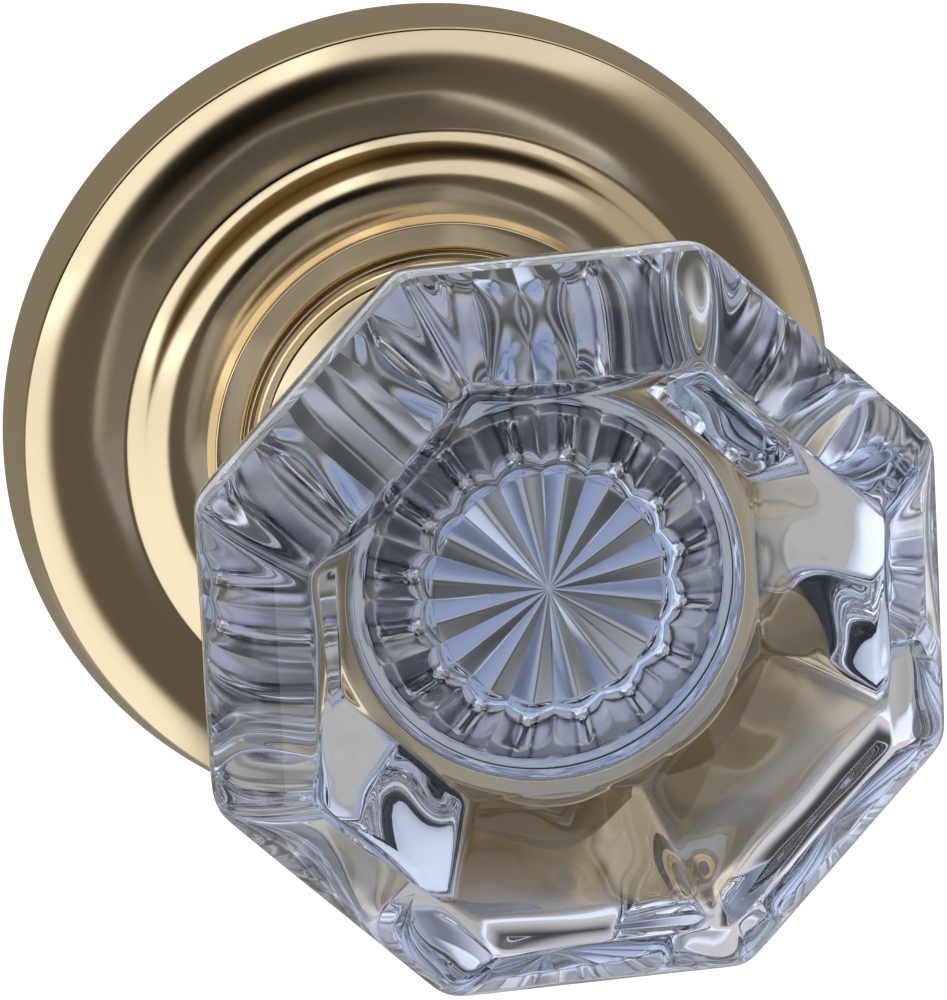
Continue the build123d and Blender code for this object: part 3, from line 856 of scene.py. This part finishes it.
class Studio:
    """The surroundings by direction, as nodes of the world's tree."""

    def __init__(self, tree):
        self.tree = tree
        split = node(tree, "ShaderNodeSeparateXYZ")
        tree.links.new(node(tree, "ShaderNodeTexCoord").outputs["Generated"], split.inputs[0])
        self.x, self.y, self.z = split.outputs
        self.tilt = self.degrees("ARCCOSINE", self.times(self.y, -1))

    def calc(self, kind, a, b=None):
        return calc(self.tree, kind, a, b)

    def times(self, a, b):
        return self.calc("MULTIPLY", a, b)

    def plus(self, a, b):
        return self.calc("ADD", a, b)

    def less(self, value, share):
        """The value with a share of it taken away."""
        return self.times(value, self.calc("SUBTRACT", 1.0, share))

    def degrees(self, kind, a, b=None):
        return self.times(self.calc(kind, a, b), 180 / pi)

    def ramp(self, value, low, high):
        """0 below low, 1 above high, smooth between; low may be the larger."""
        made = node(self.tree, "ShaderNodeMapRange", From_Min=low, From_Max=high)
        made.interpolation_type = "SMOOTHSTEP"
        self.tree.links.new(value, made.inputs["Value"])
        return made.outputs["Result"]

    def spot(self, tilt, swing, radius, soft):
        """1 inside a round patch about a direction, 0 outside."""
        t, s = radians(tilt), radians(swing)
        dot = self.plus(self.times(self.x, sin(t) * cos(s)), self.times(self.y, -cos(t)))
        dot = self.plus(dot, self.times(self.z, sin(t) * sin(s)))
        return self.ramp(self.degrees("ARCCOSINE", dot), radius + soft, radius - soft)

    def beyond(self, swing, slope, soft):
        """1 past a straight edge: where the direction leans to the swing by more than the slope."""
        a = radians(swing)
        lean = self.plus(self.times(self.x, cos(a)), self.times(self.z, sin(a)))
        out = self.calc("MAXIMUM", self.times(self.y, -1), 0.02)
        return self.ramp(self.calc("DIVIDE", lean, out), slope - soft, slope + soft)

    def band(self, tilts, swings, soft_tilt, soft_swing):
        """1 between two tilts and two swings, soft at the edges."""
        low = self.ramp(self.tilt, tilts[0] - soft_tilt, tilts[0] + soft_tilt)
        high = self.ramp(self.tilt, tilts[1] + soft_tilt, tilts[1] - soft_tilt)
        half, middle = (swings[1] - swings[0]) / 2, radians((swings[0] + swings[1]) / 2)
        across = self.times(self.x, sin(middle))
        across = self.calc("SUBTRACT", across, self.times(self.z, cos(middle)))
        along = self.plus(self.times(self.x, cos(middle)), self.times(self.z, sin(middle)))
        away = self.calc("ABSOLUTE", self.degrees("ARCTAN2", across, along))
        near = self.ramp(away, half + soft_swing, half - soft_swing)
        return self.times(self.times(low, high), near)

    def boxes(self, total, rows):
        """The total with soft boxes added: tilts, swings, softness of each, and strength."""
        for tilts, swings, soft_tilt, soft_swing, strength in rows:
            shape = self.band(tilts, swings, soft_tilt, soft_swing)
            total = self.plus(self.times(shape, strength), total)
        return total


def brightness(studio, through, flag):
    """How bright the surroundings are in a direction, for each kind of ray."""
    def depth(plain_depth, through_depth):
        drop = studio.times(through, plain_depth - through_depth)
        return studio.calc("SUBTRACT", plain_depth, drop)

    total = studio.boxes(AMBIENT, BOXES)
    total = studio.less(total, studio.times(flag, depth(FLAG_DEPTH, FLAG_DEPTH_THROUGH)))
    hood = studio.times(studio.spot(*HOOD), depth(HOOD_DEPTH, HOOD_DEPTH_THROUGH))
    total = studio.less(total, hood)
    total = studio.less(total, studio.times(through, THROUGH_LOSS))
    weaker = studio.times(studio.band(*RING_WEAK), RING_WEAKER)
    ring = studio.times(studio.band(*RING), studio.calc("SUBTRACT", RING_LEVEL, weaker))
    front = studio.times(studio.band(*FRONT_LIGHT), FRONT_LEVEL)
    total = studio.plus(total, studio.times(studio.plus(ring, front), through))
    behind = studio.times(studio.ramp(studio.tilt, *BEHIND), through)
    total = studio.less(total, studio.times(behind, BEHIND_LOSS))
    rear = studio.times(studio.ramp(studio.tilt, *REAR_AMBIENT[:2]), REAR_AMBIENT[2])
    rear = studio.plus(rear, studio.times(studio.spot(*REAR_ROUND[:4]), REAR_ROUND[4]))
    rear = studio.boxes(rear, REAR_BOXES)
    return studio.plus(total, studio.less(rear, through))


def tint(studio, through, flag, total):
    """The colour of the surroundings: warm or blue by kind of ray, and gold in the flag."""
    tree = studio.tree
    blue = studio.less(through, studio.band(*WARM_LOW))
    dim = blend(tree, blue, DIM_WARM, DIM_BLUE)
    bright = blend(tree, blue, BRIGHT_WARM, BRIGHT_BLUE)
    color = blend(tree, studio.ramp(total, *DIM_TO_BRIGHT), dim, bright)
    gold = studio.less(studio.band(*GOLD_SPAN), studio.times(through, GOLD_LOSS_THROUGH))
    return blend(tree, studio.times(flag, gold), color, GOLD)


def world():
    """A grey studio with soft boxes; what the camera sees directly is plain white."""
    made = bpy.data.worlds.new("studio")
    bpy.context.scene.world = made
    made.use_nodes = True
    tree = made.node_tree
    studio = Studio(tree)
    path = tree.nodes.new("ShaderNodeLightPath")
    through = path.outputs["Is Transmission Ray"]
    flag = studio.times(studio.beyond(*FLAG), studio.band(*FLAG_SPAN))
    total = brightness(studio, through, flag)
    seen = tree.nodes.new("ShaderNodeBackground")
    tree.links.new(tint(studio, through, flag, total), seen.inputs["Color"])
    tree.links.new(total, seen.inputs["Strength"])
    mix = tree.nodes.new("ShaderNodeMixShader")
    tree.links.new(path.outputs["Is Camera Ray"], mix.inputs[0])
    tree.links.new(seen.outputs[0], mix.inputs[1])
    tree.links.new(node(tree, "ShaderNodeBackground", Color=WHITE).outputs[0], mix.inputs[2])
    tree.links.new(mix.outputs[0], tree.nodes["World Output"].inputs["Surface"])


def floor():
    """Plain pale floor below the knob, lit evenly, left out of the metal and the glass, and
    clear from underneath."""
    signs = ((-1, -1), (1, -1), (1, 1), (-1, 1))
    corners = [(FLOOR_SIZE * x, FLOOR_SIZE * y, FLOOR_LEVEL) for x, y in signs]
    plane = new_mesh("floor", corners, [(0, 1, 2, 3)], smooth=False)
    look = material("pale floor", Base_Color=(0.8, 0.8, 0.8, 1), Roughness=0.9,
                    Emission_Color=WHITE, Emission_Strength=0.85)
    tree = look.node_tree
    side = tree.nodes.new("ShaderNodeNewGeometry")
    clear = tree.nodes.new("ShaderNodeBsdfTransparent")
    mix = tree.nodes.new("ShaderNodeMixShader")
    tree.links.new(side.outputs["Backfacing"], mix.inputs[0])
    tree.links.new(tree.nodes["Principled BSDF"].outputs[0], mix.inputs[1])
    tree.links.new(clear.outputs[0], mix.inputs[2])
    tree.links.new(mix.outputs[0], tree.nodes["Material Output"].inputs["Surface"])
    plane.data.materials.append(look)
    plane.visible_glossy = False
    plane.visible_transmission = False
    plane.visible_diffuse = False


brass = polished_brass()
for piece in (rose_shell(), knob_neck(), ferrule_cup()):
    piece.data.materials.append(brass)
glass_knob().data.materials.append(clear_glass())
star_reflector().data.materials.append(silver_foil())
return_spring().data.materials.append(metal("spring wire", (0.4, 0.4, 0.42), 0.25, 0.4))
paint()
soften()
camera()
world()
floor()

bpy.context.scene.view_settings.view_transform = "Standard"
# Light is turned back inside the glass many times before it leaves.
for limit in ("max_bounces", "glossy_bounces", "transmission_bounces"):
    setattr(bpy.context.scene.cycles, limit, BOUNCES)
